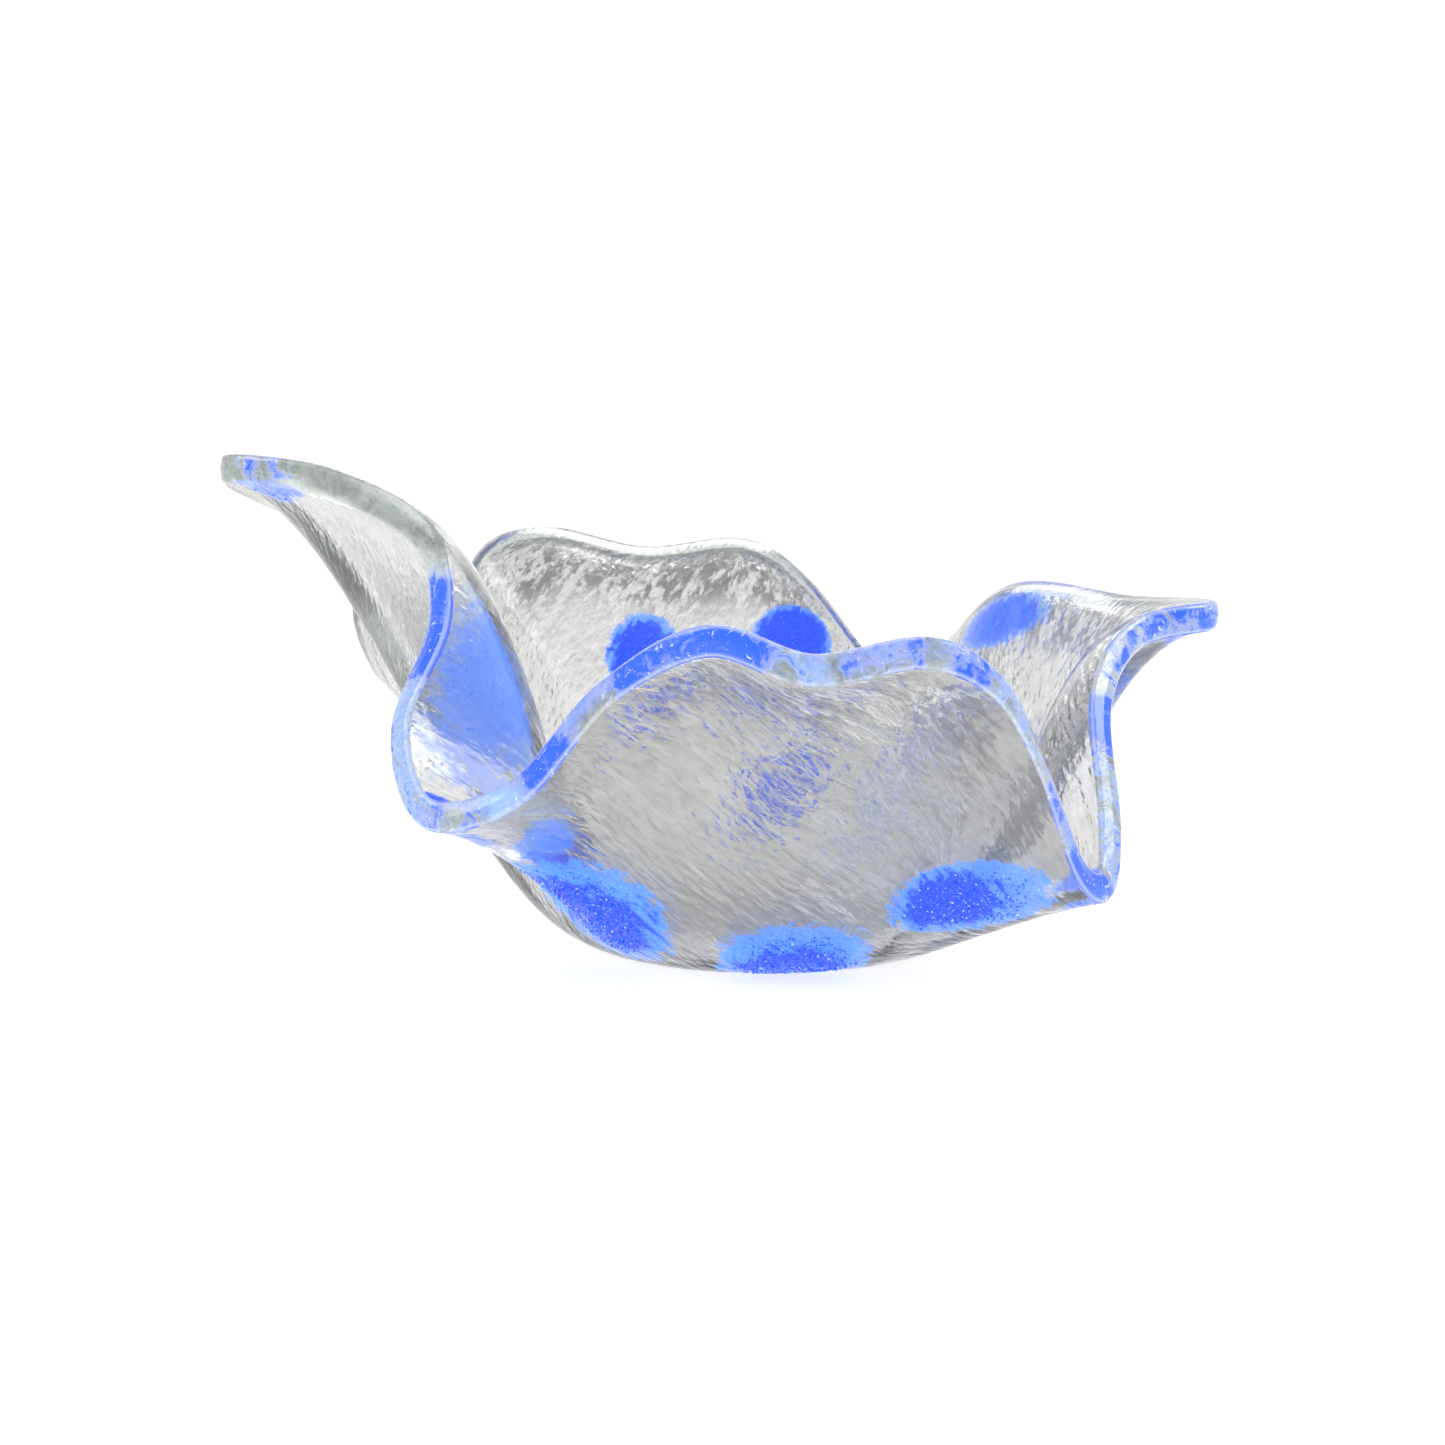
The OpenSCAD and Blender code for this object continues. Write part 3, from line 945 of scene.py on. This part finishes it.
def within(u, start, end, fade):
    """1 inside a stretch of the rim, fading to 0 at its two ends."""
    middle = (start + end) / 2
    away = np.abs((u - middle + 1.5 * STATIONS) % STATIONS - STATIONS / 2)
    return np.clip(((end - start) / 2 - away) / fade, 0, 1)


def lip_painted_shade(u):
    """How strongly painted shade darkens the glass by the bent lip round the bowl."""
    return sum(strength * within(u, start, end, LIP_FADE) for start, end, strength in LIP_PAINTED_SHADE_STRETCHES)


def wing_painted_light_share(u):
    """How strongly painted light makes the glass paler round the bowl, on the left wing."""
    return within(u, *PAINTED_LIGHT_WING, PAINTED_LIGHT_WING_FADE)


def lip_height(v):
    """The share of the wall's height where the lip is bent."""
    above = np.clip((v - LIP_BOTTOM) / LIP_BOTTOM_FADE, 0, 1)
    below = np.clip((LIP_TOP - v) / LIP_TOP_FADE, 0, 1)
    return float(above * below)


class BOWL_OT_sheets(bpy.types.Operator):
    """Make the two clear sheets"""

    bl_idname = "glass_bowl.sheets"
    bl_label = "Clear sheets"

    def execute(self, context):
        shape, finish = context.scene.bowl_shape, context.scene.bowl_finish
        grid = Grid(shape)
        outer, outer_poles, inner, inner_poles = sheet_rows(grid, shape)
        materials = [hammered_glass(shape, finish), rim_glass(finish), seam_glass()]
        group = hammering(materials)
        settings = {"Depth": shape.hammer_depth, "Length": shape.hammer_length,
                    "Width": shape.hammer_width, "Angle": shape.grain_angle}
        for name, node, rows, poles in (
            ("glass_outer_sheet", "outer_sheet", outer, outer_poles),
            ("glass_inner_sheet", "inner_sheet", inner, inner_poles),
        ):
            piece = shell(name, rows, poles)
            add_geometry_nodes(piece, group, settings)
            bake_modifiers(piece)
            finish_piece(piece, BODY, "clear_glass", node)
        return {"FINISHED"}


def without_doubles(faces):
    """Leaves out a lower face whose corners all lie on the edge, where it doubles the upper."""
    kept = {}
    for face in faces:
        if len(set(face)) > 2:
            kept.setdefault(frozenset(face), face)
    return list(kept.values())


def patch_body(grid, shape, patch):
    """A closed lens of frit just under the outer face."""
    top = grid.face(shape.sheet_thickness - shape.frit_cover)
    inside = inside_patch(grid, patch, grid.face(shape.sheet_thickness))
    rows = inside.shape[0]
    after = np.roll(np.arange(COLUMNS), -1)
    hit = inside > -FRINGE
    cell = hit[:-1] | hit[1:] | hit[:-1][:, after] | hit[1:][:, after]
    k, j = np.nonzero(cell)
    n = after[j]
    corner_ids = np.stack([k * COLUMNS + n, (k + 1) * COLUMNS + n, (k + 1) * COLUMNS + j,
                           k * COLUMNS + j], 1)
    used = np.unique(corner_ids)
    place = {old: new for new, old in enumerate(used)}
    values = inside.reshape(-1)[used]
    body = np.clip(1 + values / FRINGE, 0, 1)  # the frit thins out round a patch
    top_points = top.reshape(-1, 3)[used]
    out = grid.out.reshape(-1, 3)[used]
    depth = shape.frit_depth * (EDGE_SHARE * body + (1 - EDGE_SHARE) * np.clip(values, 0, 1))
    sunk = np.nonzero(values > -FRINGE)[0]
    sunk_place = {old: len(used) + i for i, old in enumerate(sunk)}
    low_points = top_points[sunk] - depth[sunk, None] * out[sunk]
    faces = []
    last_row = (rows - 1) * COLUMNS
    for quad in corner_ids:
        upper = [place[c] for c in quad]
        lower = [sunk_place.get(c, c) for c in upper]
        faces.append(upper)
        faces.append(lower[::-1])
        if quad[1] >= last_row:  # close the patch where it ends at the rim
            rim = [lower[2], lower[1], upper[1], upper[2]]
            rim = [c for i, c in enumerate(rim) if c not in rim[:i]]
            if len(rim) > 2:
                faces.append(rim[::-1])
    flat = grid.flat.reshape(-1, 3)[used]
    share = np.concatenate([np.zeros(grid.rings), grid.v])
    share = np.repeat(share, COLUMNS)[used]
    thin = np.clip((share - patch.height) * 8 + 0.3, 0, 1) * patch.thins

    def both(values):
        return np.concatenate([values, values[sunk]])

    attributes = [
        ("flat", "FLOAT_VECTOR", both(flat)),
        ("inside", "FLOAT", both(values)),
        ("thin", "FLOAT", both(thin)),
        ("outer", "FLOAT", np.concatenate([np.ones(len(used)), np.zeros(len(sunk))])),
    ]
    points = np.concatenate([top_points, low_points])
    return new_object("melted_" + patch.node, points, without_doubles(faces), attributes)


class BOWL_OT_frit(bpy.types.Operator):
    """Make the blue frit patches with their loose grains"""

    bl_idname = "glass_bowl.frit"
    bl_label = "Blue frit"

    def execute(self, context):
        shape, finish = context.scene.bowl_shape, context.scene.bowl_finish
        grid = Grid(shape)
        group = graining()
        grains = loose_frit(finish)
        for number, patch in enumerate(PATCHES):
            piece = patch_body(grid, shape, patch)
            add_geometry_nodes(piece, group, {
                "Density": patch.grains * PER_CM2, "Grain size": shape.grain_size,
                "Rise": shape.frit_cover, "Seed": shape.seed + number,
                "Layer": melted_frit(shape, finish, patch), "Grains": grains,
            })
            bake_modifiers(piece)
            finish_piece(piece, BODY, "blue_frit", patch.node)
        return {"FINISHED"}


class BOWL_OT_stage(bpy.types.Operator):
    """Make the floor, the lights and the camera"""

    bl_idname = "glass_bowl.stage"
    bl_label = "Stage"

    def execute(self, context):
        scene = context.scene
        camera_data = bpy.data.cameras.new("camera")
        camera_data.lens = LENS
        camera = bpy.data.objects.new("camera", camera_data)
        camera.location = CAMERA_PLACE
        camera.rotation_euler = (CAMERA_TILT, 0, 0)
        scene.collection.objects.link(camera)
        scene.camera = camera

        corners = np.array([(-1, -1, 0), (1, -1, 0), (1, 1, 0), (-1, 1, 0)]) * FLOOR_REACH
        floor = new_object("floor", corners - [0, 0, FLOOR_GAP], [(0, 1, 2, 3)])
        material, tree = material_tree("white_table")
        surface(tree, tree.node(
            "ShaderNodeBsdfPrincipled", None,
            {"Base Color": (0.5, 0.5, 0.5), "Roughness": 0.9,
             "Emission Color": (1.0, 1.0, 1.0), "Emission Strength": FLOOR_GLOW,
             "Specular IOR Level": 0.1},
        ).outputs[0])
        floor.data.materials.append(material)

        world = bpy.data.worlds.new("studio")
        world.use_nodes = True
        world.node_tree.nodes.clear()
        tree = Tree(world.node_tree.nodes, world.node_tree.links)
        way = tree.node("ShaderNodeTexCoord").outputs["Generated"]
        parts = tree.node("ShaderNodeSeparateXYZ", None, {0: way}).outputs
        height = Value(tree, parts[2])
        side = Value(tree, parts[0])
        ahead = Value(tree, parts[1])
        # A pale ring by the horizon, greyer at the sides and behind, under a darker
        # ceiling with a bright middle
        ring = tree.ramp(height, 0.62, 0.22)
        top = tree.ramp(height, 0.8, 0.95)
        wide = tree.ramp(side * side, 0.3, 0.75)
        behind = tree.ramp(ahead, -0.2, -0.7)
        light = ring * (1.05 - wide * 0.3 - behind * 0.15) + (1 - ring) * 0.55 + top * 0.4
        tree.node("ShaderNodeOutputWorld", None, {"Surface": tree.node(
            "ShaderNodeBackground", None, {"Color": (1.0, 1.0, 1.0), "Strength": light}
        ).outputs[0]})
        scene.world = world

        for name, power, size, place, turn in SOFTBOXES:
            lamp = bpy.data.lights.new(name, "AREA")
            lamp.energy, lamp.size = power, size
            light_object = bpy.data.objects.new(name, lamp)
            light_object.location = place
            light_object.rotation_euler = [math.radians(a) for a in turn]
            scene.collection.objects.link(light_object)

        scene.view_settings.view_transform = "Standard"
        scene.cycles.max_bounces = 24
        scene.cycles.transmission_bounces = 20
        scene.cycles.transparent_max_bounces = 64
        return {"FINISHED"}


class BOWL_PT_panel(bpy.types.Panel):
    """Glass bowl settings and steps"""

    bl_idname = "BOWL_PT_panel"
    bl_label = "Glass Bowl"
    bl_space_type = "VIEW_3D"
    bl_region_type = "UI"
    bl_category = "Glass Bowl"

    def draw(self, context):
        layout = self.layout
        for group in (context.scene.bowl_shape, context.scene.bowl_finish):
            box = layout.box()
            for name in group.__annotations__:
                box.prop(group, name)
        for operator in STEPS:
            layout.operator(operator.bl_idname)


STEPS = (BOWL_OT_stage, BOWL_OT_sheets, BOWL_OT_frit)
CLASSES = (BowlShape, BowlFinish, *STEPS, BOWL_PT_panel)


def register():
    for item in CLASSES:
        bpy.utils.register_class(item)
    bpy.types.Scene.bowl_shape = bpy.props.PointerProperty(type=BowlShape)
    bpy.types.Scene.bowl_finish = bpy.props.PointerProperty(type=BowlFinish)


def unregister():
    del bpy.types.Scene.bowl_finish
    del bpy.types.Scene.bowl_shape
    for item in reversed(CLASSES):
        bpy.utils.unregister_class(item)


def main():
    register()
    bpy.ops.glass_bowl.stage()
    bpy.ops.glass_bowl.sheets()
    bpy.ops.glass_bowl.frit()


if __name__ == "__main__":
    main()
